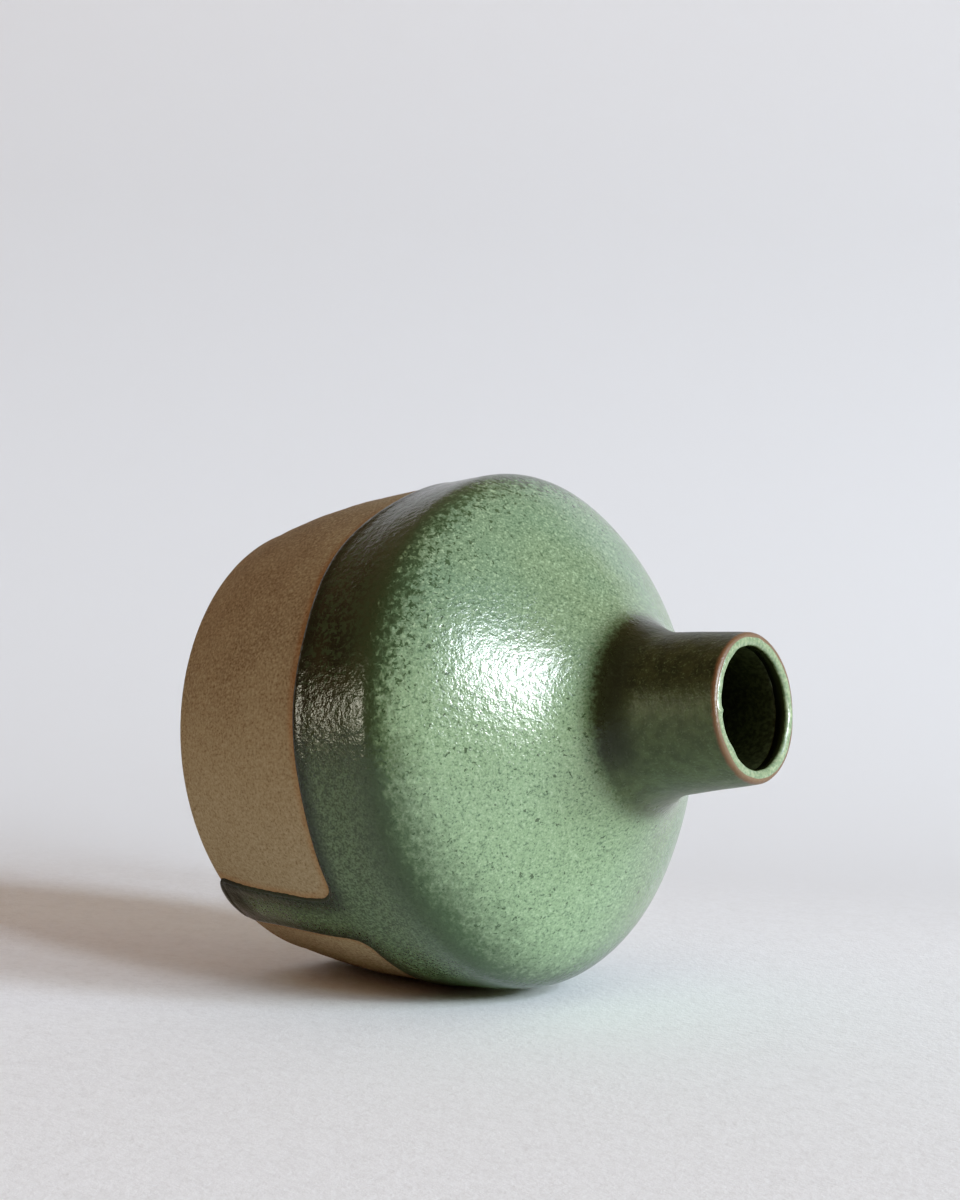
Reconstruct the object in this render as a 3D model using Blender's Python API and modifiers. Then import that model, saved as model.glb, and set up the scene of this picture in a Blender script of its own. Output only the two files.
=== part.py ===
"""Glazed stoneware bud vase: a round-shouldered bottle with a short tapering neck.

The vase stands upright on its flat foot. The origin is the centre of the foot and +Z runs up the
turning axis. A bearing round the axis is counted from -Y towards +X.
Every layer is a turned solid. Touching layers keep a small gap, so each one is a body of its own.
"""
import math

import bpy

MM = 0.001

# Driving dimensions of the glazed outline.
HEIGHT = 104.4 * MM
BELLY_RADIUS = 50.0 * MM
BELLY_HEIGHT = 52.0 * MM
FOOT_RADIUS = 43.7 * MM
FOOT_ROUNDING = 2.5 * MM
WALL_SWELL = 2.6                    # exponent of the barrel curve between foot and belly
OVER_BELLY_CURL = 20.4              # 1/m, how fast the barrel curve closes above the belly
SHOULDER_START = 63.3 * MM          # radius the shoulder cone would have at belly height
SHOULDER_SLOPE = 1.804              # radius lost for each unit of height
SHOULDER_SAG = 5.57                 # 1/m, slight hollow of the shoulder cone
SHOULDER_FILLET = 12.2 * MM
NECK_ROOT_RADIUS = 15.74 * MM
NECK_ROOT_HEIGHT = 82.5 * MM
LIP_RADIUS = 13.79 * MM
NECK_FILLET = 10.0 * MM

# Walls and coats.
GAP = 0.3 * MM                      # clearance between touching layers
GLAZE = 0.4 * MM                    # thickness of the outer coat, the liner and the lip ring
GLAZE_PROUD = 0.3 * MM              # how far the outer coat stands out from the bare clay
CLAY_WALL = 4.0 * MM
FLOOR_THICKNESS = 6.0 * MM
FLOOR_CORNER = 9.0 * MM             # inside radius where the floor meets the wall
BORE_RADIUS = 11.4 * MM             # clear radius inside the glazed lip
BORE_FILLET = 3.0 * MM

# Levels.
DIP_LINE = 35.0 * MM                # lower edge of the outer coat
NECK_JOINT = 80.5 * MM              # where the thrown neck is luted on to the shoulder
LIP_RING_DEPTH = 2.6 * MM
LIP_ROUNDING = 0.5 * MM

# The one long drip of glaze down the bare clay.
DRIP_BEARING = 128.7                # degrees
DRIP_WIDTH = 11.2 * MM
DRIP_THICKNESS = 0.6 * MM
DRIP_LOW_END = 1.0 * MM
BEAD_HEIGHT = 3.6 * MM              # level of the thick bead that ends the drip
BEAD_THICKNESS = 1.3 * MM
BEAD_SPREAD = 2.6 * MM

# Fineness of the solids.
SEGMENTS = 40
STATION_STEP = 4.5 * MM
ARC_STEPS = 5
MERGE_DISTANCE = 0.00001

COAT_TOP = HEIGHT - LIP_RING_DEPTH - GAP
CLAY_SET_BACK = GLAZE + GAP
WALL_DEPTH = 2.0 * CLAY_SET_BACK + CLAY_WALL
FLOOR_FACE = FLOOR_THICKNESS + CLAY_SET_BACK

COLLECTION = "bud_vase"
CUTTER_COLLECTION = "cutters"


def soft_minimum(a, b, width):
    """The smaller of a and b, rounded off over width where they meet."""
    return min(a, b) - max(width - abs(a - b), 0.0) ** 2 / (4.0 * width)


def soft_maximum(a, b, width):
    """The larger of a and b, rounded off over width where they meet."""
    return -soft_minimum(-a, -b, width)


def outline(z):
    """Radius of the glazed outside at height z."""
    rise = z - BELLY_HEIGHT
    below = max(-rise / BELLY_HEIGHT, 0.0)
    above = max(rise, 0.0)
    wall = BELLY_RADIUS - (BELLY_RADIUS - FOOT_RADIUS) * below ** WALL_SWELL
    wall -= OVER_BELLY_CURL * above ** 2
    shoulder = SHOULDER_START - SHOULDER_SLOPE * rise + SHOULDER_SAG * rise ** 2
    body = soft_minimum(wall, shoulder, SHOULDER_FILLET)
    if rise < 0.0:
        return body
    taper = (LIP_RADIUS - NECK_ROOT_RADIUS) / (HEIGHT - NECK_ROOT_HEIGHT)
    neck = NECK_ROOT_RADIUS + taper * (z - NECK_ROOT_HEIGHT)
    return soft_maximum(body, neck, NECK_FILLET)


def offset(radius_at, z, distance):
    """Radius at height z of a surface that lies distance outside another one."""
    delta = 0.25 * MM
    slope = (radius_at(z + delta) - radius_at(z - delta)) / (2.0 * delta)
    return radius_at(z) + distance * math.hypot(1.0, slope)


def hollow(z):
    """Radius of the lined hollow above its rounded floor corner."""
    return soft_maximum(offset(outline, z, -WALL_DEPTH), BORE_RADIUS, BORE_FILLET)


def levels(low, high):
    """Evenly spaced heights from low to high, both included."""
    count = max(1, round((high - low) / STATION_STEP))
    return [low + (high - low) * i / count for i in range(count + 1)]


def offset_run(radius_at, distance, low, high):
    """Points (radius, height) of an offset surface, from low up to high."""
    return [(offset(radius_at, z, distance), z) for z in levels(low, high)]


def hollow_run(depth, high):
    """Points up the hollow, depth behind its face: floor centre, rounded corner, wall."""
    centre_height = FLOOR_FACE + FLOOR_CORNER
    centre_radius = hollow(centre_height) - FLOOR_CORNER
    points = [(0.0, FLOOR_FACE - depth)]
    for i in range(ARC_STEPS):
        turn = 0.5 * math.pi * i / ARC_STEPS
        reach = FLOOR_CORNER + depth
        points.append((centre_radius + reach * math.sin(turn), centre_height - reach * math.cos(turn)))
    return points + offset_run(hollow, depth, centre_height, high)


def foot_run(foot_radius):
    """Points down the rounded foot edge and in to the axis."""
    points = []
    for i in range(1, ARC_STEPS + 1):
        turn = 0.5 * math.pi * i / ARC_STEPS
        points.append((foot_radius - FOOT_ROUNDING * (1.0 - math.cos(turn)),
                       FOOT_ROUNDING * (1.0 - math.sin(turn))))
    return points + [(0.0, 0.0)]


def material(name, colour, roughness):
    """A plain Principled material."""
    made = bpy.data.materials.new(name)
    made.use_nodes = True
    shader = made.node_tree.nodes["Principled BSDF"]
    shader.inputs["Base Color"].default_value = (*colour, 1.0)
    shader.inputs["Roughness"].default_value = roughness
    shader.inputs["Metallic"].default_value = 0.0
    return made


def turned(name, profile, collection, finish=None, closed=False):
    """A solid of revolution from (radius, height) points that run down their outer side."""
    mesh = bpy.data.meshes.new(name)
    vertices = [(radius, 0.0, height) for radius, height in profile]
    edges = [(i, i + 1) for i in range(len(profile) - 1)]
    if closed:
        edges.append((len(profile) - 1, 0))
    mesh.from_pydata(vertices, edges, [])
    thing = bpy.data.objects.new(name, mesh)
    collection.objects.link(thing)
    screw = thing.modifiers.new("turning", "SCREW")
    screw.axis = "Z"
    screw.steps = SEGMENTS
    screw.render_steps = SEGMENTS
    screw.use_merge_vertices = True
    screw.merge_threshold = MERGE_DISTANCE
    screw.use_smooth_shade = True
    if finish:
        mesh.materials.append(finish)
    return thing


def clay_body(collection, finish):
    """Foot, barrel wall and shoulder, thrown in one; set back under the coats."""
    rim = NECK_JOINT - 0.5 * GAP
    ledge = DIP_LINE - GAP
    inside = hollow_run(CLAY_SET_BACK, rim)
    under_glaze = offset_run(outline, -CLAY_SET_BACK, ledge, rim)
    bare = offset_run(outline, -GLAZE_PROUD, FOOT_ROUNDING, ledge)
    outside = under_glaze[::-1] + bare[::-1]
    return turned("clay_body", inside + outside + foot_run(bare[0][0]), collection, finish)


def clay_neck(collection, finish):
    """The short neck, thrown apart and luted on to the shoulder."""
    low = NECK_JOINT + 0.5 * GAP
    high = HEIGHT - CLAY_SET_BACK
    inside = offset_run(hollow, CLAY_SET_BACK, low, high)
    outside = offset_run(outline, -CLAY_SET_BACK, low, high)
    return turned("clay_neck", inside + outside[::-1], collection, finish, closed=True)


def outer_glaze(collection, finish):
    """The green coat from the dip line up over belly, shoulder and neck."""
    outside = offset_run(outline, 0.0, DIP_LINE, COAT_TOP)
    backing = offset_run(outline, -GLAZE, DIP_LINE, COAT_TOP)
    return turned("outer_glaze", backing + outside[::-1], collection, finish, closed=True)


def liner_glaze(collection, finish):
    """The lining that makes the hollow hold water."""
    face = hollow_run(0.0, COAT_TOP)
    backing = hollow_run(GLAZE, COAT_TOP)
    return turned("liner_glaze", face + backing[::-1], collection, finish)


def lip_glaze(collection, finish):
    """The pale glaze ring folded over the mouth's rim."""
    low = HEIGHT - LIP_RING_DEPTH
    shoulder = HEIGHT - LIP_ROUNDING
    under = HEIGHT - GLAZE
    profile = [
        (BORE_RADIUS + LIP_ROUNDING, HEIGHT),
        (LIP_RADIUS - LIP_ROUNDING, HEIGHT),
        (outline(shoulder), shoulder),
        (outline(low), low),
        (outline(low) - GLAZE, low),
        (LIP_RADIUS - GLAZE, under),
        (BORE_RADIUS + GLAZE, under),
        (hollow(low) + GLAZE, low),
        (hollow(low), low),
        (BORE_RADIUS, shoulder),
    ]
    return turned("lip_glaze", profile, collection, finish, closed=True)


def glaze_drip(collection, cutters, finish):
    """The drip below the dip line, ending in a thick bead at the foot edge."""
    def face(z):
        bead = BEAD_THICKNESS * math.exp(-((z - BEAD_HEIGHT) / BEAD_SPREAD) ** 2)
        return outline(z) + DRIP_THICKNESS + bead

    high = DIP_LINE - GAP
    heights = [DRIP_LOW_END + BEAD_SPREAD * i / ARC_STEPS for i in range(2 * ARC_STEPS)]
    heights += levels(DRIP_LOW_END + 2.0 * BEAD_SPREAD, high)
    outside = [(face(z), z) for z in heights]
    backing = [(outline(DRIP_LOW_END), DRIP_LOW_END)] + offset_run(outline, 0.0, FOOT_ROUNDING, high)
    drip = turned("glaze_drip", backing + outside[::-1], collection, finish, closed=True)

    bpy.ops.mesh.primitive_cube_add(size=1.0)
    sector = bpy.context.object
    sector.name = "drip_sector"
    bearing = math.radians(DRIP_BEARING)
    sector.scale = (BELLY_RADIUS, DRIP_WIDTH, 2.0 * HEIGHT)
    sector.location = (BELLY_RADIUS * math.sin(bearing), -BELLY_RADIUS * math.cos(bearing), 0.0)
    sector.rotation_euler = (0.0, 0.0, bearing - 0.5 * math.pi)
    sector.hide_render = True
    sector.display_type = "WIRE"
    for owner in list(sector.users_collection):
        owner.objects.unlink(sector)
    cutters.objects.link(sector)
    cut = drip.modifiers.new("one_drip", "BOOLEAN")
    cut.operation = "INTERSECT"
    cut.solver = "EXACT"
    cut.object = sector
    return drip


def main():
    for thing in list(bpy.data.objects):
        bpy.data.objects.remove(thing, do_unlink=True)
    vase = bpy.data.collections.new(COLLECTION)
    cutters = bpy.data.collections.new(CUTTER_COLLECTION)
    for made in (vase, cutters):
        bpy.context.scene.collection.children.link(made)

    stoneware = material("stoneware", (0.36, 0.27, 0.17), 0.85)
    green = material("green_glaze", (0.16, 0.26, 0.15), 0.35)
    dark_green = material("dark_green_glaze", (0.06, 0.10, 0.05), 0.3)
    pale_green = material("pale_green_glaze", (0.42, 0.52, 0.38), 0.3)
    liner = material("liner_glaze", (0.03, 0.03, 0.02), 0.4)

    parts = [
        clay_body(vase, stoneware),
        clay_neck(vase, stoneware),
        outer_glaze(vase, green),
        liner_glaze(vase, liner),
        lip_glaze(vase, pale_green),
        glaze_drip(vase, cutters, dark_green),
    ]
    datum = bpy.data.objects.new("foot_centre", None)
    vase.objects.link(datum)
    for part in parts:
        part.parent = datum


main()
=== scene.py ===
"""Looks of the stoneware bud vase: its clay, its green glaze with one long drip, its lip and lining.

Everything is in metres in the frame of the CAD model: the vase stands on its foot at the origin and
+Z runs up the turning axis. In the picture the vase lies on its side, so the paper that it lies on
is a plane beside it, nearly square to -Y, and the camera is level with that paper.
A bearing round the axis is counted from -Y towards +X, in degrees.
"""
import math

import bmesh
import bpy
import numpy as np
from mathutils import Matrix, Vector


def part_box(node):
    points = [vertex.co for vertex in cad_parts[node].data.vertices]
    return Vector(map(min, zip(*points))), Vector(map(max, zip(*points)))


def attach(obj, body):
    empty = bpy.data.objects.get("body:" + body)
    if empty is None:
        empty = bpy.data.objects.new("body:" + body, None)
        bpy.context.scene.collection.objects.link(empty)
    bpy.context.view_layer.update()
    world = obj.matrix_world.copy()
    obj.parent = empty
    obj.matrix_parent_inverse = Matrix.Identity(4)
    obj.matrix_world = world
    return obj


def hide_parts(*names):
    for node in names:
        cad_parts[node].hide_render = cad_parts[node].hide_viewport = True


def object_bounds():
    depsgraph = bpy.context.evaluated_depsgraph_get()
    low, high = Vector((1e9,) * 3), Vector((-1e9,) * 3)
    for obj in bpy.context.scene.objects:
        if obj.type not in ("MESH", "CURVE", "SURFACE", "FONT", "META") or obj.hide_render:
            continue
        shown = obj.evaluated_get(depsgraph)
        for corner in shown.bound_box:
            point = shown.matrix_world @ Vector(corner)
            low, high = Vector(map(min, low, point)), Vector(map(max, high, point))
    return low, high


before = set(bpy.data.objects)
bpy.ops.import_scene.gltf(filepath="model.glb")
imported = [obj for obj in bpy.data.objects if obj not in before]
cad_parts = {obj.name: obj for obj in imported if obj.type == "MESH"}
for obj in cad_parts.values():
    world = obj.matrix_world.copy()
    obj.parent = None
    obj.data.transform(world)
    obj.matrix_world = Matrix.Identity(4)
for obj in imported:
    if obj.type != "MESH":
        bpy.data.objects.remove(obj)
cad_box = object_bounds()

MM = 0.001

# ---------------------------------------------------------------- the vase's outline
HEIGHT = cad_box[1].z
BELLY_RADIUS = 50.0 * MM
BELLY_HEIGHT = 52.0 * MM
FOOT_RADIUS = 43.7 * MM
WALL_SWELL = 2.6
OVER_BELLY_CURL = 20.4
SHOULDER_START = 63.3 * MM
SHOULDER_SLOPE = 1.804
SHOULDER_SAG = 5.57
SHOULDER_FILLET = 12.2 * MM
NECK_ROOT_RADIUS = 15.74 * MM
NECK_ROOT_HEIGHT = 82.5 * MM
LIP_RADIUS = 13.79 * MM
NECK_FILLET = 10.0 * MM
BORE_RADIUS = 11.4 * MM
BORE_FILLET = 3.0 * MM
WALL_DEPTH = 5.4 * MM               # glazed outside to glazed inside
FLOOR_FACE = 6.7 * MM
FLOOR_CORNER = 9.0 * MM
NECK_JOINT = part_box("clay_body")[1].z

BULGE = 0.95 * MM                   # the belly is a little fuller on one side
BULGE_BEARING = 176.0
BULGE_TOP = 85.0 * MM


def soft_minimum(a, b, width):
    """The smaller of a and b, blended where they differ by less than width."""
    return np.minimum(a, b) - np.clip(width - np.abs(a - b), 0.0, None) ** 2 / (4.0 * width)


def soft_maximum(a, b, width):
    return -soft_minimum(-a, -b, width)


def smooth(edge0, edge1, x):
    """Rises smoothly from 0 at edge0 to 1 at edge1."""
    t = np.clip((x - edge0) / (edge1 - edge0), 0.0, 1.0)
    return t * t * (3.0 - 2.0 * t)


def outline(z):
    """Radius of the glazed outside at height z."""
    z = np.asarray(z, float)
    rise = z - BELLY_HEIGHT
    below = np.clip(-rise / BELLY_HEIGHT, 0.0, None)
    above = np.clip(rise, 0.0, None)
    wall = BELLY_RADIUS - (BELLY_RADIUS - FOOT_RADIUS) * below ** WALL_SWELL - OVER_BELLY_CURL * above ** 2
    shoulder = SHOULDER_START - SHOULDER_SLOPE * rise + SHOULDER_SAG * rise ** 2
    body = soft_minimum(wall, shoulder, SHOULDER_FILLET)
    taper = (LIP_RADIUS - NECK_ROOT_RADIUS) / (HEIGHT - NECK_ROOT_HEIGHT)
    neck = NECK_ROOT_RADIUS + taper * (z - NECK_ROOT_HEIGHT)
    return np.where(rise < 0.0, body, soft_maximum(body, neck, NECK_FILLET))


def slope(radius_at, z):
    delta = 0.25 * MM
    return (radius_at(z + delta) - radius_at(z - delta)) / (2.0 * delta)


def hollow(z):
    """Radius of the lined hollow above its rounded floor corner."""
    wall = outline(z) - WALL_DEPTH * np.hypot(1.0, slope(outline, z))
    return soft_maximum(wall, np.full_like(wall, BORE_RADIUS), BORE_FILLET)


def wrapped(bearing, centre):
    """Angle from centre to bearing, from -180 to 180."""
    return (np.asarray(bearing) - centre + 180.0) % 360.0 - 180.0


def bulge(bearing, z):
    """How much fuller than the outline the wall is."""
    lift = np.sin(math.pi * np.clip(z / BULGE_TOP, 0.0, 1.0)) ** 2
    return BULGE * lift * np.cos(np.radians(wrapped(bearing, BULGE_BEARING)))


def hump(x, half_width):
    """A smooth hump of height 1 at x = 0."""
    return np.exp(-(x / half_width) ** 2)


# ---------------------------------------------------------------- smooth seeded unevenness
def waves(bearing, z, seed, turns, lengths, count=24):
    """A sum of sines over bearing and height, from -1 to 1 or so, that closes round the vase."""
    rng = np.random.default_rng(seed)
    total = np.zeros(np.broadcast(bearing, z).shape)
    for _ in range(count):
        k = rng.integers(turns[0], turns[1] + 1)
        w = 2.0 * math.pi / rng.uniform(*lengths) * rng.choice((-1.0, 1.0))
        phase = rng.uniform(0.0, 2.0 * math.pi)
        total += np.sin(k * np.radians(bearing) + w * z + phase)
    return total / math.sqrt(count)


# ---------------------------------------------------------------- where the glaze lies
DIP_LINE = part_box("outer_glaze")[0].z
DIP_TILT = 1.0 * MM                 # the vase went into the glaze a little askew
DIP_TILT_BEARING = math.radians(20.0)
DIP_RISE = 4.6 * MM                 # one place where the line rises in a hump
DIP_RISE_BEARING = 8.0
DIP_RISE_WIDTH = 21.0
DRIP_BEARING = 128.9
DRIP_HALF_WIDTH = 5.6 * MM
GLAZE_THICKNESS = 0.42 * MM
EDGE_ROLL = 0.9 * MM                # how wide the rounded edge of the coat is
POOL_HEIGHT = 0.16 * MM             # glaze gathers along its lower edge
DRIP_HEIGHT = 0.20 * MM
BEAD_HEIGHT = 0.60 * MM
BEAD_LEVEL = 3.2 * MM


def dip_height(bearing):
    """Height of the coat's lower edge round the vase."""
    b = np.radians(bearing)
    level = DIP_LINE + 0.35 * MM
    level = level + DIP_TILT * np.cos(b - DIP_TILT_BEARING)
    level = level + DIP_RISE * hump(wrapped(bearing, DIP_RISE_BEARING), DIP_RISE_WIDTH)
    return level + 0.35 * MM * waves(bearing, 0.0 * b, 3, (3, 11), (1.0, 2.0), 10)


def cover(bearing, z):
    """Signed distance inside the glaze's edge, in metres; negative on bare clay."""
    dip = z - dip_height(bearing)
    along = np.radians(wrapped(bearing, DRIP_BEARING)) * outline(z)
    low = z / DIP_LINE
    half = DRIP_HALF_WIDTH * (1.0 + 0.10 * hump(low - 0.1, 0.16) - 0.06 * np.sin(math.pi * low))
    side = half - np.abs(along - 0.25 * MM * np.sin(2.0 * math.pi * low * 1.3 + 0.6))
    tip = z - 0.2 * MM
    drip = soft_minimum(side, tip, 4.0 * MM)
    return soft_maximum(dip, drip, 4.5 * MM)


def glaze_height(bearing, z):
    """How far the glaze stands out from the clay; below zero it is buried in the clay."""
    inside = cover(bearing, z)
    roll = np.clip(inside / EDGE_ROLL, -1.0, 1.0)
    rounded = np.where(roll > 0.0, np.sqrt(np.clip(1.0 - (1.0 - roll) ** 2, 0.0, None)), 1.6 * roll)
    pooled = POOL_HEIGHT * hump(inside - 1.0 * MM, 1.1 * MM)
    along = np.radians(wrapped(bearing, DRIP_BEARING)) * outline(z)
    drip = DRIP_HEIGHT * hump(along, 4.6 * MM) * smooth(DIP_LINE + 4.0 * MM, DIP_LINE - 4.0 * MM, z)
    bead = BEAD_HEIGHT * hump(along, 5.0 * MM) * hump(z - BEAD_LEVEL, 3.4 * MM)
    return GLAZE_THICKNESS * rounded + (pooled + drip + bead) * np.clip(rounded, 0.0, 1.0)


# ---------------------------------------------------------------- mesh makers
def all_round(columns):
    return np.linspace(0.0, 360.0, columns, endpoint=False)


def grid_mesh(name, bearings, radius, height, closed_ends=(False, False), keep=None):
    """A skin over rows x bearings of points; radius and height are 2-D arrays."""
    rows, columns = radius.shape
    b = np.radians(bearings)[None, :]
    x = radius * np.sin(b)
    y = -radius * np.cos(b)
    points = np.stack([x, y, np.broadcast_to(height, radius.shape)], axis=2).reshape(-1, 3)
    i = np.arange(rows - 1)[:, None] * columns
    j = np.arange(columns)[None, :]
    nxt = (j + 1) % columns
    faces = np.stack([i + j, i + nxt, i + columns + nxt, i + columns + j], axis=2)
    if keep is not None:
        faces = faces[keep]
    faces = faces.reshape(-1, 4).tolist()
    points = points.tolist()
    for end, row in ((0, 0), (1, rows - 1)):
        if closed_ends[end]:
            centre = len(points)
            points.append((0.0, 0.0, float(np.mean(height[row]))))
            ring = [row * columns + c for c in range(columns)]
            for c in range(columns):
                pair = (ring[c], ring[(c + 1) % columns])
                faces.append((centre, pair[1], pair[0]) if end == 0 else (centre, pair[0], pair[1]))
    mesh = bpy.data.meshes.new(name)
    mesh.from_pydata(points, [], faces)
    mesh.update()
    mesh.shade_smooth()
    return mesh


def new_object(name, data):
    thing = bpy.data.objects.new(name, data)
    bpy.context.scene.collection.objects.link(thing)
    return thing


def add_piece(name, mesh, material, nodes):
    """A piece of the vase, shown in place of the given nodes of the CAD model."""
    mesh.materials.append(material)
    thing = new_object(name, mesh)
    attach(thing, "root")
    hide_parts(*nodes)
    return thing


def attribute(mesh, name, values):
    layer = mesh.attributes.new(name, "FLOAT", "POINT")
    layer.data.foreach_set("value", np.asarray(values, np.float32).ravel())


# ---------------------------------------------------------------- shader building
class Graph:
    """Small helper that adds shader nodes and links them as they are made."""

    def __init__(self, material):
        material.use_nodes = True
        self.nodes = material.node_tree.nodes
        self.links = material.node_tree.links
        self.shader = self.nodes["Principled BSDF"]
        self.where = self.nodes.new("ShaderNodeTexCoord").outputs["Object"]
        split = self.nodes.new("ShaderNodeSeparateXYZ")
        self.links.new(self.where, split.inputs[0])
        self.x, self.y, self.z = split.outputs

    def put(self, socket, value):
        if isinstance(value, (int, float)):
            socket.default_value = value
        elif isinstance(value, tuple):
            socket.default_value = (*value, 1.0)
        else:
            self.links.new(value, socket)

    def math(self, operation, a, b=0.0):
        node = self.nodes.new("ShaderNodeMath")
        node.operation = operation
        self.put(node.inputs[0], a)
        self.put(node.inputs[1], b)
        return node.outputs[0]

    def add(self, a, b):
        return self.math("ADD", a, b)

    def times(self, a, b):
        return self.math("MULTIPLY", a, b)

    def swing(self, noise, amount):
        """Noise centred on zero and scaled."""
        return self.times(self.math("SUBTRACT", noise, 0.5), amount)

    def ramp(self, value, low, high, to_low=0.0, to_high=1.0):
        """Smoothly maps value from low..high to to_low..to_high."""
        node = self.nodes.new("ShaderNodeMapRange")
        node.interpolation_type = "SMOOTHSTEP"
        for name, item in (("Value", value), ("From Min", low), ("From Max", high),
                           ("To Min", to_low), ("To Max", to_high)):
            self.put(node.inputs[name], item)
        return node.outputs["Result"]

    def mix(self, factor, a, b):
        node = self.nodes.new("ShaderNodeMix")
        node.data_type = "RGBA"
        self.put(node.inputs[0], factor)
        self.put(node.inputs[6], a)
        self.put(node.inputs[7], b)
        return node.outputs[2]

    def noise(self, size, detail=2.0, roughness=0.5, distortion=0.0, where=None):
        """Noise from 0 to 1 with features about size metres across."""
        node = self.nodes.new("ShaderNodeTexNoise")
        node.inputs["Scale"].default_value = 1.0 / size
        node.inputs["Detail"].default_value = detail
        node.inputs["Roughness"].default_value = roughness
        node.inputs["Distortion"].default_value = distortion
        self.links.new(where or self.where, node.inputs["Vector"])
        return node.outputs["Fac"]

    def stretched(self, x, y, z):
        node = self.nodes.new("ShaderNodeMapping")
        node.inputs["Scale"].default_value = (x, y, z)
        self.links.new(self.where, node.inputs["Vector"])
        return node.outputs[0]

    def dot(self, axis):
        node = self.nodes.new("ShaderNodeVectorMath")
        node.operation = "DOT_PRODUCT"
        self.links.new(self.where, node.inputs[0])
        node.inputs[1].default_value = tuple(axis)
        return node.outputs["Value"]

    def from_axis(self):
        return self.math("SQRT", self.add(self.times(self.x, self.x), self.times(self.y, self.y)))

    def toward(self, bearing):
        """Cosine of the angle round the axis between this point and a bearing in degrees."""
        turn = math.radians(bearing)
        part = self.add(self.times(self.x, math.sin(turn)), self.times(self.y, -math.cos(turn)))
        return self.math("DIVIDE", part, self.from_axis())

    def attribute(self, name):
        node = self.nodes.new("ShaderNodeAttribute")
        node.attribute_name = name
        return node.outputs["Fac"]

    def bump(self, height, depth, normal=None):
        """Tilts the surface as a height map of depth metres would."""
        node = self.nodes.new("ShaderNodeBump")
        node.inputs["Distance"].default_value = depth
        node.inputs["Strength"].default_value = 1.0
        self.links.new(height, node.inputs["Height"])
        if normal is not None:
            self.links.new(normal, node.inputs["Normal"])
        return node.outputs[0]


# ---------------------------------------------------------------- colours, and where they lie
CLAY_BROWN = (0.250, 0.198, 0.120)
CLAY_SAND = (0.310, 0.250, 0.156)
CLAY_PAINTED_LIGHT = (0.385, 0.305, 0.192)
CLAY_GRAIN = (0.47, 0.38, 0.25)
CLAY_PIT = (0.15, 0.105, 0.060)
CLAY_SPECK = (0.13, 0.075, 0.035)
CLAY_RUST = (0.36, 0.155, 0.055)

LIGHT_GREEN = (0.178, 0.278, 0.170)
WARM_GREEN = (0.200, 0.285, 0.160)
GREEN_PAINTED_LIGHT = (0.272, 0.398, 0.225)
PALE_CURD = (0.42, 0.56, 0.35)
DARK_CURD = (0.070, 0.125, 0.070)
GREEN_SPECK = (0.040, 0.070, 0.034)
BAND_BLACK = (0.017, 0.025, 0.010)
BAND_BROWN = (0.034, 0.035, 0.015)
BAND_CURD = (0.060, 0.082, 0.038)
BAND_TOP_SIDE = (0.044, 0.060, 0.030)
OLIVE_DARK = (0.045, 0.070, 0.030)
OLIVE_PALE = (0.145, 0.215, 0.115)
BELLY_EDGE = (0.060, 0.095, 0.050)
FLECK = (0.045, 0.075, 0.038)
NECK_BLACK = ((0.022, 0.030, 0.010), (0.046, 0.056, 0.022))
NECK_GREEN = ((0.060, 0.085, 0.036), (0.090, 0.125, 0.056))
NECK_CURD = (0.15, 0.20, 0.11)
NECK_PAINTED_SHADE = (0.014, 0.019, 0.007)
POOL = (0.010, 0.015, 0.006)
BEAD = (0.010, 0.014, 0.006)
COAT_RUST = (0.20, 0.105, 0.055)

LIP_GREEN = ((0.20, 0.29, 0.165), (0.36, 0.44, 0.27))
LIP_RUST = (0.20, 0.10, 0.05)
LIP_INSIDE = (0.060, 0.072, 0.038)
LINING = ((0.048, 0.057, 0.029), (0.100, 0.118, 0.064))

# the side towards which the clay is painted lighter, as painted light
CLAY_PAINTED_LIGHT_BEARING = 112.0
TOP_SIDE_BEARING = 5.0
FLECKED_BEARING = 15.0              # the side that carries the dark flecks
# the side on which the neck's root crease is painted darker, as painted shade
NECK_SHADE_BEARING = 55.0
# the side towards which the shoulder green is painted lighter, as painted light
GREEN_PAINTED_LIGHT_BEARING = 125.0
OLIVE_BEARING = 150.0               # the side where the dark thins out softly
GLAZE_IOR = 1.52


def clay_material():
    """Buff stoneware: sandy grain, fine dark specks, warmed with rust along the glaze, and painted lighter
    towards one side as painted light.
    """
    made = bpy.data.materials.new("stoneware_clay")
    g = Graph(made)
    edge = g.attribute("edge_mm")
    cloud = g.noise(14 * MM, 3.0)
    grain = g.noise(0.55 * MM, 3.0, 0.65)
    colour = g.mix(g.ramp(cloud, 0.3, 0.7), CLAY_BROWN, CLAY_SAND)
    # painted light: the clay is lightened towards one side, where more light falls
    colour = g.mix(g.ramp(g.toward(CLAY_PAINTED_LIGHT_BEARING), 0.62, 0.98, 0.0, 0.8), colour, CLAY_PAINTED_LIGHT)
    colour = g.mix(g.ramp(grain, 0.46, 0.70, 0.0, 0.75), colour, CLAY_GRAIN)
    colour = g.mix(g.ramp(grain, 0.50, 0.30, 0.0, 0.55), colour, CLAY_PIT)
    specks = g.ramp(g.noise(0.42 * MM, 2.0, 0.6), 0.66, 0.74)
    colour = g.mix(g.times(specks, 0.7), colour, CLAY_SPECK)
    near_glaze = g.times(g.ramp(edge, -2.2, -0.05), g.ramp(g.noise(2.5 * MM), 0.25, 0.7, 0.55, 1.0))
    colour = g.mix(g.times(near_glaze, 0.42), colour, CLAY_RUST)
    g.put(g.shader.inputs["Base Color"], colour)
    g.shader.inputs["Roughness"].default_value = 0.88
    g.shader.inputs["Specular IOR Level"].default_value = 0.28
    rough = g.bump(grain, 0.05 * MM)
    rough = g.bump(g.noise(3.0 * MM, 2.0), 0.08 * MM, rough)
    g.put(g.shader.inputs["Normal"], rough)
    return made


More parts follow.
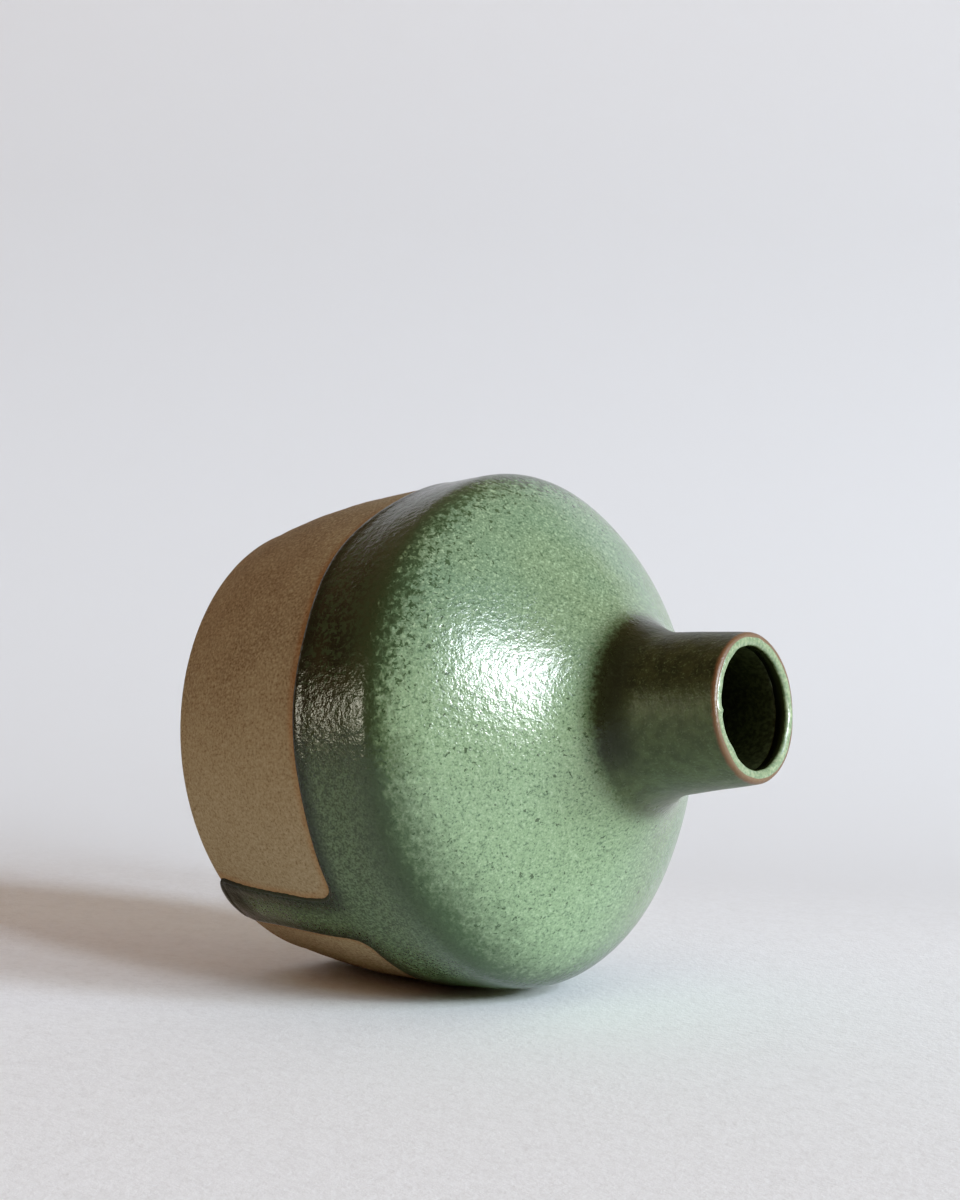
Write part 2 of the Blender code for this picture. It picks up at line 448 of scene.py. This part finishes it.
class Glaze(Graph):
    """The nodes that every part of the green coat shares."""

    def __init__(self, material):
        super().__init__(material)
        self.edge = self.attribute("edge_mm")
        self.z_mm = self.times(self.z, 1000.0)
        self.upper = self.ramp(self.toward(FLECKED_BEARING), 0.15, 0.80)
        self.lower = self.ramp(self.toward(OLIVE_BEARING), 0.30, 0.62)
        self.fine = self.noise(0.9 * MM, 2.0, 0.6)
        self.mid = self.noise(2.4 * MM, 3.0, 0.6)
        self.broad = self.noise(24 * MM, 2.0)
        grain = self.noise(0.42 * MM, 2.0, 0.6)
        self.speckle = self.add(self.times(grain, 0.62), self.times(self.fine, 0.38))
        self.level = self.add(self.z_mm, self.swing(self.broad, 6.0))   # height that wanders a little


def shoulder_green(g):
    light = g.mix(g.ramp(g.broad, 0.35, 0.65), LIGHT_GREEN, WARM_GREEN)
    # painted light: the green is lightened towards its front side, where more light falls
    light = g.mix(g.ramp(g.toward(GREEN_PAINTED_LIGHT_BEARING), 0.20, 0.85), light, GREEN_PAINTED_LIGHT)
    light = g.mix(g.ramp(g.speckle, 0.50, 0.68, 0.0, 0.85), light, PALE_CURD)
    light = g.mix(g.ramp(g.speckle, 0.50, 0.32, 0.0, 0.88), light, DARK_CURD)
    specks = g.times(g.ramp(g.noise(0.8 * MM, 2.0, 0.6), 0.66, 0.72), g.ramp(g.mid, 0.42, 0.60))
    return g.mix(g.times(specks, 0.70), light, GREEN_SPECK)


def band_green(g):
    """The dark band from the dip line up to the belly, softer and more olive on its lower side."""
    dark = g.mix(g.ramp(g.noise(8 * MM, 2.0), 0.35, 0.65), BAND_BLACK, BAND_BROWN)
    dark = g.mix(g.ramp(g.speckle, 0.50, 0.72, 0.0, 0.65), dark, BAND_CURD)
    dark = g.mix(g.ramp(g.toward(TOP_SIDE_BEARING), 0.50, 0.95), dark, BAND_TOP_SIDE)
    olive = g.mix(g.ramp(g.speckle, 0.34, 0.66), OLIVE_DARK, OLIVE_PALE)
    dark = g.mix(g.lower, dark, olive)
    return g.mix(g.ramp(g.level, 45.0, 56.0, 0.0, 0.9), dark, BELLY_EDGE)


def paleness(g):
    """0 on the dark band and 1 on the shoulder, curdled between them."""
    clump = g.noise(1.5 * MM, 2.0, 0.6, 0.3, where=g.stretched(1.0, 1.0, 1.5))
    reach = g.ramp(g.upper, 0.0, 1.0, 9.0, 14.0)
    start = g.ramp(g.lower, 0.0, 1.0, 54.0, 54.5)
    end = g.ramp(g.lower, 0.0, 1.0, 60.0, 65.0)
    return g.ramp(g.add(g.level, g.swing(clump, reach)), start, end)


def flecks(g):
    """Dark flecks on the upper side that thin out up the shoulder."""
    crowd = g.times(g.ramp(g.z_mm, 53.0, 71.0, 0.15, -0.05), g.upper)
    return g.ramp(g.add(g.noise(1.1 * MM, 2.5, 0.65, 0.4), crowd), 0.635, 0.685, 0.0, 0.85)


def neck_green(g):
    patch = g.ramp(g.mid, 0.3, 0.7)
    side = g.ramp(g.toward(OLIVE_BEARING), 0.0, 0.45)
    neck = g.mix(side, g.mix(patch, *NECK_BLACK), g.mix(patch, *NECK_GREEN))
    neck = g.mix(g.ramp(g.speckle, 0.5, 0.72, 0.0, 0.6), neck, NECK_CURD)
    # painted shade: the crease at the neck's root is darkened on one side, where shade falls
    crease_shade = g.times(g.ramp(g.z_mm, 89.0, 84.0), g.ramp(g.toward(NECK_SHADE_BEARING), 0.15, 0.70))
    return g.mix(g.times(crease_shade, 0.85), neck, NECK_PAINTED_SHADE)


def glaze_material():
    """Satin green glaze: pale where it broke over the shoulder, dark and mottled down to the dip line, with
    painted light on its front side and painted shade in the neck's root crease.
    """
    made = bpy.data.materials.new("green_glaze")
    g = Glaze(made)
    colour = g.mix(paleness(g), band_green(g), shoulder_green(g))
    colour = g.mix(flecks(g), colour, FLECK)
    colour = g.mix(g.ramp(g.add(g.z_mm, g.times(g.fine, 3.0)), 79.0, 83.5), colour, neck_green(g))
    colour = g.mix(g.times(g.ramp(g.edge, 0.3, 5.2, 1.0, 0.0), 0.82), colour, POOL)
    colour = g.mix(g.ramp(g.z_mm, 11.0, 5.0, 0.0, 0.85), colour, BEAD)
    top = HEIGHT / MM
    rust = g.ramp(g.add(g.z_mm, g.times(g.noise(1.3 * MM), 0.6)), top - 0.9, top - 0.1)
    colour = g.mix(g.times(rust, 0.85), colour, COAT_RUST)
    g.put(g.shader.inputs["Base Color"], colour)

    satin = g.ramp(g.noise(1.2 * MM, 2.0), 0.3, 0.7, 0.14, 0.22)
    satin = g.ramp(g.z_mm, 80.0, 86.0, satin, 0.42)     # the neck is duller
    g.put(g.shader.inputs["Roughness"], g.ramp(g.edge, 0.60, 0.10, satin, 0.65))
    g.shader.inputs["IOR"].default_value = GLAZE_IOR
    peel = g.bump(g.noise(0.38 * MM, 1.5, 0.5, 0.3), 0.055 * MM)
    peel = g.bump(g.noise(1.3 * MM, 1.5, 0.5), 0.12 * MM, peel)
    g.put(g.shader.inputs["Normal"], peel)
    return made


def lip_material():
    """Thin pale green glaze on the rim, broken to rust at its outer edge."""
    made = bpy.data.materials.new("lip_glaze")
    g = Graph(made)
    out = g.from_axis()
    fine = g.noise(0.7 * MM, 2.5, 0.6)
    colour = g.mix(g.ramp(fine, 0.35, 0.7), *LIP_GREEN)
    uneven = g.add(out, g.times(g.noise(1.5 * MM), 0.4 * MM))
    rust = g.ramp(uneven, LIP_RADIUS - 0.75 * MM, LIP_RADIUS - 0.25 * MM)
    colour = g.mix(g.times(rust, 0.85), colour, LIP_RUST)
    below = g.ramp(g.add(g.z, g.times(fine, 0.3 * MM)), HEIGHT - 0.20 * MM, HEIGHT - 0.75 * MM)
    inside = g.times(below, g.ramp(out, BORE_RADIUS + 0.5 * MM, BORE_RADIUS + 0.2 * MM))
    colour = g.mix(inside, colour, LIP_INSIDE)
    g.put(g.shader.inputs["Base Color"], colour)
    g.shader.inputs["Roughness"].default_value = 0.26
    g.shader.inputs["IOR"].default_value = GLAZE_IOR
    g.put(g.shader.inputs["Normal"], g.bump(g.noise(0.8 * MM, 2.0), 0.05 * MM))
    return made


def liner_material():
    """Dark olive lining glaze."""
    made = bpy.data.materials.new("liner_glaze")
    g = Graph(made)
    fine = g.noise(0.8 * MM, 2.5, 0.6)
    colour = g.mix(g.ramp(fine, 0.35, 0.7), *LINING)
    g.put(g.shader.inputs["Base Color"], colour)
    g.shader.inputs["Roughness"].default_value = 0.42
    g.put(g.shader.inputs["Normal"], g.bump(g.noise(1.0 * MM, 2.0), 0.05 * MM))
    return made


# ---------------------------------------------------------------- profiles
FOOT_ROUNDING = 2.5 * MM
FINE_TOP = 46 * MM                  # between these heights the glaze's edge lies, so rows are close there
FINE_BOTTOM = 30 * MM
CENTRE_HOLE = 1.0 * MM              # discs are closed with a fan inside this radius


def outer_profile(levels):
    """Points and outward normals (radius, height) of the clay's outside at the given heights."""
    z = np.asarray(levels, float)
    tilt = slope(outline, z)
    size = np.hypot(1.0, tilt)
    normal = np.stack([1.0 / size, -tilt / size], axis=1)
    point = np.stack([outline(z), z], axis=1) - GLAZE_THICKNESS * normal
    return point, normal


def foot_profile(steps):
    """The rounded foot edge, from its top down to the flat underside."""
    top, _ = outer_profile([FOOT_ROUNDING])
    turn = np.linspace(0.0, 0.5 * math.pi, steps + 1)[1:]
    normal = np.stack([np.cos(turn), -np.sin(turn)], axis=1)
    centre = np.array([top[0, 0] - FOOT_ROUNDING, FOOT_ROUNDING])
    return centre + FOOT_ROUNDING * normal, normal


def profile_heights(top, steps):
    """Heights from top down to the foot's edge, with a step for above, in and below the fine rows."""
    ends = (top, FINE_TOP, FINE_BOTTOM, FOOT_ROUNDING)
    found = []
    for high, low, step in zip(ends, ends[1:], steps):
        count = max(2, round((high - low) / step))
        found += list(np.linspace(high, low, count, endpoint=False))
    return found + [FOOT_ROUNDING]


# ---------------------------------------------------------------- the clay
LINER_BED = 0.5 * MM                # the clay's hollow lies this far behind the lining's face


def clay_hollow():
    """The hollow's floor, corner and wall, from the middle up."""
    wall_z = np.linspace(FLOOR_FACE + FLOOR_CORNER, NECK_JOINT, 34)
    wall = np.stack([hollow(wall_z) + LINER_BED, wall_z], axis=1)
    turn = np.linspace(0.15, 0.5 * math.pi, 8)[:-1]
    corner_centre = wall[0, 0] - FLOOR_CORNER - LINER_BED
    reach = FLOOR_CORNER + LINER_BED
    corner = np.stack([corner_centre + reach * np.sin(turn),
                       FLOOR_FACE + FLOOR_CORNER - reach * np.cos(turn)], axis=1)
    middle = np.array([[CENTRE_HOLE, corner[0, 1]]])
    return np.concatenate([middle, corner, wall])


def make_clay():
    bearings = all_round(540)
    outer, outer_normal = outer_profile(profile_heights(NECK_JOINT, (2.0 * MM, 0.6 * MM, 0.9 * MM)))
    foot, foot_normal = foot_profile(10)
    base_radii = np.linspace(foot[-1, 0], CENTRE_HOLE, 46)[1:]
    base = np.stack([base_radii, np.zeros_like(base_radii)], axis=1)
    base_normal = np.tile([0.0, -1.0], (len(base), 1))
    inner = clay_hollow()

    points = np.concatenate([inner, outer, foot, base])
    normals = np.concatenate([np.zeros_like(inner), outer_normal, foot_normal, base_normal])
    b = bearings[None, :]
    r = points[:, :1]
    z = points[:, 1:2]
    across, up = normals[:, :1], normals[:, 1:2]
    throwing = np.sin(2.0 * math.pi * z / (2.3 * MM) + np.radians(b)) * smooth(2 * MM, 8 * MM, z)
    wall_lift = 0.05 * MM * waves(b, z, 11, (0, 5), (5 * MM, 30 * MM)) + 0.03 * MM * throwing
    ring = np.sin(2.0 * math.pi * r / (2.1 * MM) + np.radians(b))
    base_lift = -0.05 * MM * (1.0 + ring) * smooth(0.0, 4 * MM, FOOT_RADIUS - r - 4 * MM)
    on_base = (np.arange(len(points)) >= len(points) - len(base))[:, None]
    lift = np.where(on_base, base_lift, wall_lift)
    radius = r + lift * across + np.where(across != 0.0, bulge(b, z), 0.0)
    height = np.broadcast_to(z + lift * up, radius.shape)
    mesh = grid_mesh("stoneware_body", bearings, radius, height, (True, True))
    on_grid = np.broadcast_to(cover(b, z) / MM, radius.shape).ravel()
    at_centres = np.full(2, -20.0)
    attribute(mesh, "edge_mm", np.concatenate([on_grid, at_centres]))
    return add_piece("stoneware_body", mesh, clay_material(), ["clay_body"])


# ---------------------------------------------------------------- the green coat and its drip
LIP_ROUNDING = 0.75 * MM
NEAR_DRIP = 11.0                    # degrees to each side of the drip with close columns
PLAIN_ABOVE = 60 * MM               # from here up the coat has no edge
BURIED = 0.9 * MM                   # how far the skin runs on under the clay


def make_coat():
    near = np.arange(DRIP_BEARING - NEAR_DRIP, DRIP_BEARING + NEAR_DRIP, 0.22)
    far = np.linspace(near[-1] + 0.4, near[0] + 360.0 - 0.4, 620)
    bearings = np.concatenate([near, far])
    heights = profile_heights(HEIGHT - LIP_ROUNDING, (0.8 * MM, 0.24 * MM, 0.45 * MM))
    point, normal = outer_profile(heights)
    lip_turn = np.linspace(0.5 * math.pi, 0.0, 8)[:-1]
    lip_normal = np.stack([np.cos(lip_turn), np.sin(lip_turn)], axis=1)
    lip_centre = np.array([outline(heights[0]) - LIP_ROUNDING, heights[0]])
    lip = lip_centre + (LIP_ROUNDING - GLAZE_THICKNESS) * lip_normal
    under_ring = np.array([[lip[0, 0] - 0.6 * MM, lip[0, 1] - 0.1 * MM]])
    foot, foot_normal = foot_profile(12)
    points = np.concatenate([under_ring, lip, point, foot])
    normals = np.concatenate([[[0.0, 1.0]], lip_normal, normal, foot_normal])
    b = bearings[None, :]
    r = points[:, :1]
    z = points[:, 1:2]
    inside = cover(b, z)
    stand = np.where(z > PLAIN_ABOVE, GLAZE_THICKNESS, glaze_height(b, z))
    stand = stand + 0.07 * MM * waves(b, z, 21, (0, 6), (9 * MM, 40 * MM)) * smooth(0.0, 1.5 * MM, inside)
    radius = r + stand * normals[:, :1] + bulge(b, z)
    height = z + stand * normals[:, 1:2]
    wet = inside > -BURIED
    either_row = wet[:-1] | wet[1:]
    keep = either_row | np.roll(either_row, -1, axis=1)
    mesh = grid_mesh("green_glaze_coat", bearings, radius, height, keep=keep)
    attribute(mesh, "edge_mm", np.broadcast_to(np.minimum(inside, 40 * MM) / MM, radius.shape))
    drop_loose_points(mesh)
    return add_piece("green_glaze_coat", mesh, glaze_material(), ["outer_glaze", "glaze_drip"])


def drop_loose_points(mesh):
    edit = bmesh.new()
    edit.from_mesh(mesh)
    loose = [v for v in edit.verts if not v.link_faces]
    bmesh.ops.delete(edit, geom=loose, context="VERTS")
    edit.to_mesh(mesh)
    edit.free()


# ---------------------------------------------------------------- the lip
RIM_OUTER = LIP_RADIUS - 0.45 * MM  # the pale ring's crown spans from here in to the bore
RIM_CROWN = 0.60 * MM
RIM_BASE = HEIGHT - 0.50 * MM
RING_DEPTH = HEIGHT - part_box("lip_glaze")[0].z
BURR_BEARING = 86.0
FLAT_SPOT_BEARING = 124.0


def make_lip():
    bearings = all_round(400)
    half = 0.5 * (RIM_OUTER - BORE_RADIUS)
    turn = np.linspace(-0.15 * math.pi, math.pi, 24)
    crown = np.stack([BORE_RADIUS + half + half * np.cos(turn), RIM_BASE + RIM_CROWN * np.sin(turn)], axis=1)
    skirt = np.array([(0.0, 1.0 * MM), (0.0, RING_DEPTH), (0.4 * MM, RING_DEPTH), (0.7 * MM, 1.2 * MM)])
    skirt = np.stack([BORE_RADIUS + skirt[:, 0], HEIGHT - skirt[:, 1]], axis=1)
    points = np.concatenate([crown, skirt, crown[:1]])
    b = bearings[None, :]
    inward = smooth(BORE_RADIUS + 1.2 * MM, BORE_RADIUS, points[:, :1])
    flat_spot = -0.55 * MM * hump(wrapped(b, FLAT_SPOT_BEARING), 14.0)
    burr = -0.30 * MM * hump(wrapped(b, BURR_BEARING), 2.2)
    ripple = 0.05 * MM * waves(b, 0.0 * b, 31, (4, 26), (1.0, 2.0), 18)
    radius = points[:, :1] + inward * (flat_spot + burr) + ripple
    top = smooth(HEIGHT - 0.8 * MM, HEIGHT, points[:, 1:2])
    swell = 0.05 * MM * waves(b, 0.0 * b, 33, (2, 18), (1.0, 2.0), 14)
    swell = swell + 0.12 * MM * hump(wrapped(b, BURR_BEARING), 3.0)
    mesh = grid_mesh("pale_lip_ring", bearings, radius, points[:, 1:2] + top * swell)
    weld(mesh)
    return add_piece("pale_lip_ring", mesh, lip_material(), ["lip_glaze"])


def weld(mesh):
    edit = bmesh.new()
    edit.from_mesh(mesh)
    bmesh.ops.remove_doubles(edit, verts=edit.verts, dist=0.002 * MM)
    bmesh.ops.recalc_face_normals(edit, faces=edit.faces)
    edit.to_mesh(mesh)
    edit.free()


# ---------------------------------------------------------------- the lining
LINER_THICKNESS = 0.3 * MM


def make_liner():
    top = HEIGHT - RING_DEPTH + 0.5 * MM
    wall_z = np.linspace(FLOOR_FACE + FLOOR_CORNER, top, 90)
    tucked = 0.25 * MM * smooth(top - 1.2 * MM, top - 0.5 * MM, wall_z)     # behind the lip's ring
    wall = np.stack([hollow(wall_z) + tucked, wall_z], axis=1)
    turn = np.linspace(0.12, 0.5 * math.pi, 12)[:-1]
    centre = wall[0, 0] - FLOOR_CORNER
    corner = np.stack([centre + FLOOR_CORNER * np.sin(turn),
                       FLOOR_FACE + FLOOR_CORNER * (1.0 - np.cos(turn))], axis=1)
    floor = np.stack([np.linspace(CENTRE_HOLE, corner[0, 0], 14)[:-1], np.full(13, FLOOR_FACE)], axis=1)
    face = np.concatenate([floor, corner, wall])
    bearings = all_round(256)
    b = bearings[None, :]
    r, z = face[:, :1], face[:, 1:2]
    throwing = 0.12 * MM * np.sin(2.0 * math.pi * z / (4.2 * MM) + np.radians(b))
    ease = smooth(12 * MM, 20 * MM, z) * smooth(86 * MM, 76 * MM, z)
    radius = r + throwing * ease
    height = np.broadcast_to(z, radius.shape)
    r, z = r[::-1], z[::-1]
    back_radius = np.broadcast_to(r + LINER_THICKNESS, radius.shape)
    under_floor = z < FLOOR_FACE + 0.8 * FLOOR_CORNER
    back_height = np.broadcast_to(z - LINER_THICKNESS * under_floor, radius.shape)
    mesh = grid_mesh("dark_liner", bearings, np.concatenate([radius, back_radius]),
                     np.concatenate([height, back_height]), (True, True))
    weld(mesh)
    return add_piece("dark_liner", mesh, liner_material(), ["liner_glaze"])


clay = make_clay()
coat = make_coat()
make_lip()
make_liner()

neck_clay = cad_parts["clay_neck"]      # hidden under glaze, so the CAD shape stays
neck_clay.data.materials.clear()
neck_clay.data.materials.append(clay.data.materials[0])

# ---------------------------------------------------------------- paper, light and camera
LEAN = math.radians(8.82)           # the lying vase's axis rises this much off the paper
PAPER_BEARING = math.radians(-4.26) # the side of the vase that lies uppermost
PAPER_GAP = 0.03 * MM
CAMERA_BEARING = math.radians(90.0)
CAMERA_ELEVATION = math.radians(37.43)
CAMERA_ROLL = math.radians(3.0)
CAMERA_DISTANCE = 0.4542
FOCAL_LENGTH = 69.0
SENSOR_WIDTH = 36.0
AIM = Vector((0.0, -25.2 * MM, 44.5 * MM))


def direction(bearing, elevation):
    """Unit vector at a bearing round the vase's axis and an elevation along it, in radians."""
    return Vector((math.sin(bearing) * math.cos(elevation), -math.cos(bearing) * math.cos(elevation),
                   math.sin(elevation)))


PAPER_UP = direction(PAPER_BEARING, LEAN)
look_back = direction(CAMERA_BEARING, CAMERA_ELEVATION)
room_right = PAPER_UP.cross(look_back).normalized()
room_back = PAPER_UP.cross(room_right).normalized()
camera_right = Matrix.Rotation(CAMERA_ROLL, 3, look_back) @ room_right
camera_up = look_back.cross(camera_right).normalized()


def basis(x_axis, y_axis, z_axis, origin):
    """The matrix that places an object with these axes at origin."""
    made = Matrix((x_axis, y_axis, z_axis)).transposed().to_4x4()
    made.translation = origin
    return made


lowest = min(v.co @ PAPER_UP for thing in (clay, coat) for v in thing.data.vertices)
middle = Vector((0.0, 0.0, 45.0 * MM))
paper_origin = middle + PAPER_UP * (lowest - PAPER_GAP - middle @ PAPER_UP)


def in_room(right, back, up):
    """A place measured on the paper from the spot below the vase."""
    return paper_origin + room_right * right + room_back * back + PAPER_UP * up


PAPER_DARK = (0.70, 0.705, 0.71)
PAPER_LIGHT = (0.86, 0.88, 0.905)
PAPER_PAINTED_LIGHT_NEAR = (0.925, 0.945, 0.965)
PAPER_PAINTED_LIGHT_HIGH = (0.86, 0.865, 0.875)


def paper_material():
    """Pale seamless paper, finely woven near the vase and smooth behind it, seen only from its front;
    painted lighter in front of the vase and up the sweep, as painted light.
    """
    made = bpy.data.materials.new("pale_paper")
    g = Graph(made)
    across, along, up = (g.dot(axis) for axis in (room_right, room_back, PAPER_UP))
    flat = g.nodes.new("ShaderNodeCombineXYZ")
    for socket, value in zip(flat.inputs, (across, along, up)):
        g.links.new(value, socket)
    flat = flat.outputs[0]
    near = g.ramp(along, 0.16, 0.02)
    fibre = g.noise(1.3 * MM, 3.0, 0.65, where=flat)
    weave = g.noise(5.0 * MM, 2.0, 0.5, where=flat)
    tint = g.add(g.times(fibre, 0.7), g.times(weave, 0.3))
    tint = g.add(0.5, g.swing(tint, near))
    colour = g.mix(g.ramp(tint, 0.25, 0.75), PAPER_DARK, PAPER_LIGHT)
    # painted light: the paper in front of the vase is lightened, as a pool of light
    colour = g.mix(g.times(near, g.ramp(tint, 0.25, 0.75, 0.62, 1.0)), colour, PAPER_PAINTED_LIGHT_NEAR)
    # painted light: the paper is lightened up the sweep, to make up for less light falling there
    colour = g.mix(g.ramp(up, 0.08, 0.34, 0.0, 1.0), colour, PAPER_PAINTED_LIGHT_HIGH)
    g.put(g.shader.inputs["Base Color"], colour)
    g.shader.inputs["Roughness"].default_value = 0.9
    g.shader.inputs["Specular IOR Level"].default_value = 0.1
    g.put(g.shader.inputs["Normal"], g.bump(g.times(fibre, near), 0.12 * MM))
    facing = g.nodes.new("ShaderNodeNewGeometry").outputs["Backfacing"]
    clear = g.nodes.new("ShaderNodeBsdfTransparent")
    both = g.nodes.new("ShaderNodeMixShader")
    g.links.new(facing, both.inputs[0])
    g.links.new(g.shader.outputs[0], both.inputs[1])
    g.links.new(clear.outputs[0], both.inputs[2])
    g.links.new(both.outputs[0], g.nodes["Material Output"].inputs["Surface"])
    return made


def make_paper():
    """Flat in front of and under the vase, then curving up behind it."""
    front, bend, radius, high, half_width = -0.55, 0.15, 0.20, 0.40, 0.60
    line = [(front, 0.0), (0.0, 0.0), (bend, 0.0)]
    for turn in np.linspace(0.0, 0.5 * math.pi, 25)[1:]:
        line.append((bend + radius * math.sin(turn), radius * (1.0 - math.cos(turn))))
    line.append((bend + radius, high))
    points, faces = [], []
    for back, up in line:
        points += [in_room(-half_width, back, up), in_room(half_width, back, up)]
    for i in range(len(line) - 1):
        faces.append((2 * i, 2 * i + 1, 2 * i + 3, 2 * i + 2))
    mesh = bpy.data.meshes.new("paper_sweep")
    mesh.from_pydata(points, [], faces)
    mesh.update()
    mesh.shade_smooth()
    if mesh.polygons[0].normal @ PAPER_UP < 0.0:
        mesh.flip_normals()
    mesh.materials.append(paper_material())
    new_object("paper_sweep", mesh)


ROOM_FILL = (0.33, 0.23, 0.17)                   # dim and warm: all the light the shadow gets
BACKDROP = (0.72, 0.725, 0.735)


WINDOW_DISTANCE = 4.0
LEFT_DISTANCE = 2.2
# name, degrees from the right towards the camera, rise in degrees, distance, size, power and colour
LIGHTS = (
    ("window_low", 20.0, 20.5, WINDOW_DISTANCE, (1.10, 0.60), 84.0, (0.80, 0.93, 1.0)),
    ("window_mid", 19.0, 33.0, WINDOW_DISTANCE, (0.80, 0.60), 38.0, (0.70, 0.80, 1.0)),
    ("window_high", 45.0, 29.0, WINDOW_DISTANCE, (0.66, 1.50), 62.0, (0.78, 0.89, 1.0)),
    ("side_low", -6.0, 9.0, WINDOW_DISTANCE, (0.60, 0.60), 18.0, (0.85, 1.0, 0.65)),
)
SHINES = (                          # these brighten the glaze by reflection alone, never the paper
    ("left_sheen", 162.0, 6.0, LEFT_DISTANCE, (0.34, 0.50), 6.0, (1.0, 0.97, 0.80)),
    ("window_glint", 39.0, 23.0, WINDOW_DISTANCE, (0.95, 1.60), 185.0, (0.96, 0.99, 1.0)),
)
LIGHT_AIM = 50 * MM


def area_light(name, round_degrees, up_degrees, distance, size, power, colour):
    """A soft light that faces the vase."""
    data = bpy.data.lights.new(name, "AREA")
    data.shape = "RECTANGLE"
    data.size, data.size_y = size
    data.energy = power
    data.color = colour
    turn, rise = math.radians(round_degrees), math.radians(up_degrees)
    away = (room_right * (math.cos(turn) * math.cos(rise)) - room_back * (math.sin(turn) * math.cos(rise))
            + PAPER_UP * math.sin(rise))
    across = PAPER_UP.cross(away).normalized()
    thing = new_object(name, data)
    centre = in_room(0.0, 0.0, LIGHT_AIM)
    thing.matrix_world = basis(across, away.cross(across), away, centre + away * distance)
    return thing


make_paper()
for settings in LIGHTS:
    area_light(*settings)
for settings in SHINES:
    area_light(*settings).visible_diffuse = False

world = bpy.data.worlds.new("studio")
bpy.context.scene.world = world
world.use_nodes = True
tree = world.node_tree
fill = tree.nodes["Background"]
fill.inputs["Color"].default_value = (*ROOM_FILL, 1.0)
backdrop = tree.nodes.new("ShaderNodeBackground")
backdrop.inputs["Color"].default_value = (*BACKDROP, 1.0)
path = tree.nodes.new("ShaderNodeLightPath")
seen = tree.nodes.new("ShaderNodeMixShader")
tree.links.new(path.outputs["Is Camera Ray"], seen.inputs[0])
tree.links.new(fill.outputs[0], seen.inputs[1])
tree.links.new(backdrop.outputs[0], seen.inputs[2])
tree.links.new(seen.outputs[0], tree.nodes["World Output"].inputs["Surface"])

TOE = ((0.012, 0.003), (0.05, 0.034), (0.15, 0.148))   # deep shade prints darker, as in a photograph
ALL_CHANNELS = 3

lens = bpy.data.cameras.new("camera")
lens.lens = FOCAL_LENGTH
lens.sensor_width = SENSOR_WIDTH
lens.clip_start, lens.clip_end = 0.01, 20.0
camera = new_object("camera", lens)
camera.matrix_world = basis(camera_right, camera_up, look_back, AIM + look_back * CAMERA_DISTANCE)
bpy.context.scene.camera = camera
view = bpy.context.scene.view_settings
view.view_transform = "Standard"
view.use_curve_mapping = True
curve = view.curve_mapping.curves[ALL_CHANNELS]
for shade, shown in TOE:
    curve.points.new(shade, shown)
view.curve_mapping.update()
